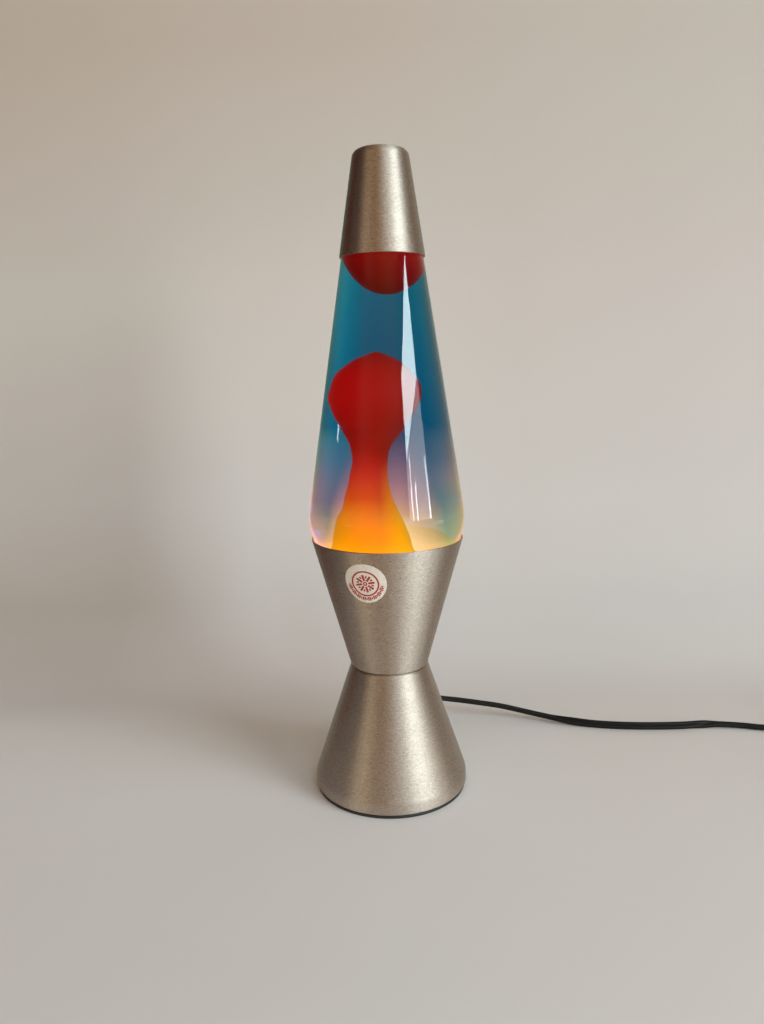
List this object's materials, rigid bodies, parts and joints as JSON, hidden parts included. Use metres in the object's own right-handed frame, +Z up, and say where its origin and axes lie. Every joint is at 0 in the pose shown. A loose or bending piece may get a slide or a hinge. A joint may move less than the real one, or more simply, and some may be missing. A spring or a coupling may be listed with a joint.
{
  "type": "liquid motion lamp",
  "caption": "Waisted spun-metal lamp whose tapered glass bottle of tinted liquid and wax sits over a small bulb, with a spun cap and a flat lead with an in-line rocker switch.",
  "frame": {"origin": "centre of the base, at the surface that the lamp stands on", "axes": "+Z up along the lamp's axis; the front, with the round sticker, faces -Y; the lead leaves at the back, towards +X"},
  "size_m": [0.4382, 0.1335, 0.368],
  "materials": {
    "spun_aluminium": "fine spun grain, satin",
    "black_plastic": "moulded, matte",
    "zinc_steel": "zinc plated",
    "brass": "pressed and plated",
    "phenolic": "moulded, low gloss",
    "dark_sleeve": "heat-proof sleeve",
    "pale_sleeve": "heat-proof sleeve",
    "lead_vinyl": "smooth vinyl",
    "bottle_glass": "clear, glossy",
    "bulb_glass": "clear, thin",
    "tinted_liquid": "clear blue liquid",
    "wax": "soft, translucent, lit from below",
    "tin_plate": "lacquered tin plate",
    "closure_liner": "moulded liner",
    "tungsten": "drawn wire",
    "sticker_film": "printed film, matte"
  },
  "bodies": {
    "base": {"foot_ring": "black_plastic", "bottom_cover": "black_plastic", "lower_cone": "spun_aluminium", "upper_cup": "spun_aluminium", "socket_bracket": "zinc_steel", "waist_rivet_1": "zinc_steel", "waist_rivet_2": "zinc_steel", "waist_rivet_3": "zinc_steel", "socket_body": "phenolic", "socket_screw_shell": "brass", "centre_contact": "brass", "centre_stud": "zinc_steel", "bottom_nut": "zinc_steel", "bracket_nut": "zinc_steel", "terminal_screw_live": "brass", "terminal_screw_neutral": "brass", "core_live": "dark_sleeve", "core_neutral": "pale_sleeve", "cord_boot": "black_plastic", "round_sticker": "sticker_film", "lead_to_switch": "lead_vinyl", "switch_upper_half": "black_plastic", "switch_lower_half": "black_plastic", "rocker_pin": "zinc_steel", "switch_screw_1": "zinc_steel", "switch_screw_2": "zinc_steel", "lead_to_coil": "lead_vinyl", "lead_coil": "lead_vinyl", "lead_tie": "black_plastic", "lead_to_plug": "lead_vinyl", "plug_body": "black_plastic", "plug_blade_live": "brass", "plug_blade_neutral": "brass"},
    "bulb": {"bulb_envelope": "bulb_glass", "bulb_screw_cap": "brass", "bulb_insulator": "phenolic", "bulb_tip_contact": "zinc_steel", "bulb_stem": "bulb_glass", "filament_wire_1": "zinc_steel", "filament_wire_2": "zinc_steel", "filament": "tungsten"},
    "globe": {"glass_bottle": "bottle_glass", "liquid": "tinted_liquid", "wax_column": "wax", "wax_dome": "wax", "heating_coil": "zinc_steel", "crown_closure": "tin_plate", "crown_liner": "closure_liner"},
    "cap": {"lamp_cap": "spun_aluminium"},
    "rocker": {"switch_rocker": "black_plastic"}
  },
  "joints": [
    {"name": "globe_lift", "type": "slide", "parent": "base", "child": "globe", "axis": [0, 0, 1], "range_m": [0, 0.12]},
    {"name": "cap_lift", "type": "slide", "parent": "globe", "child": "cap", "axis": [0, 0, 1], "range_m": [0, 0.07]},
    {"name": "bulb_lift", "type": "slide", "parent": "base", "child": "bulb", "axis": [0, 0, 1], "range_m": [0, 0.008]},
    {"name": "rocker_tilt", "type": "hinge", "parent": "base", "child": "rocker", "pos_m": [0.328, 0.058, 0.0122], "axis": [0, 1, 0], "range_deg": [-20, 0]}
  ]
}
